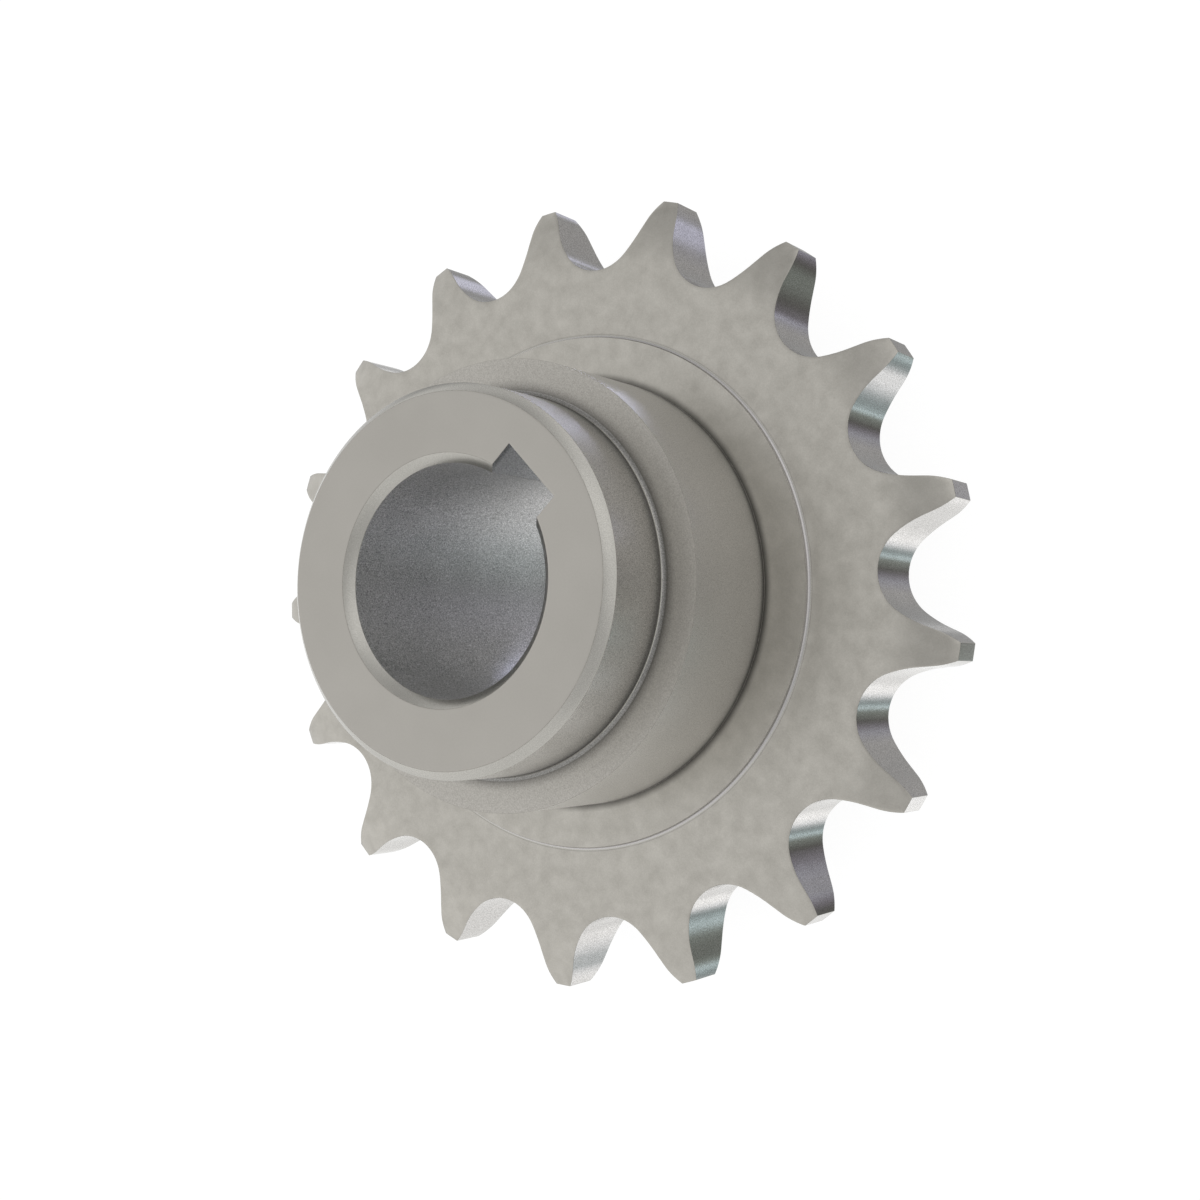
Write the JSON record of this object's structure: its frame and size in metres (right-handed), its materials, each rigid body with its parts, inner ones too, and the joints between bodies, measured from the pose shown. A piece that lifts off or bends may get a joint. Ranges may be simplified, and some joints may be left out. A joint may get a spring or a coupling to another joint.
{
  "type": "chain sprocket",
  "caption": "Steel roller-chain sprocket: a toothed rim with relieved tooth sides, a stepped hub, a short hub behind, and a through bore with a keyway.",
  "frame": {"origin": "on the bore axis, in the plane of the short back hub's flat end, which the sprocket lies on", "axes": "+Z along the bore, from the short back hub to the end of the nose; +Y through the middle of the keyway and of the tooth gap above it"},
  "size_m": [0.0934, 0.093, 0.04],
  "materials": {
    "steel": "satin, machined, with a fine matt grain"
  },
  "bodies": {
    "root": {"sprocket": "steel"}
  },
  "joints": []
}
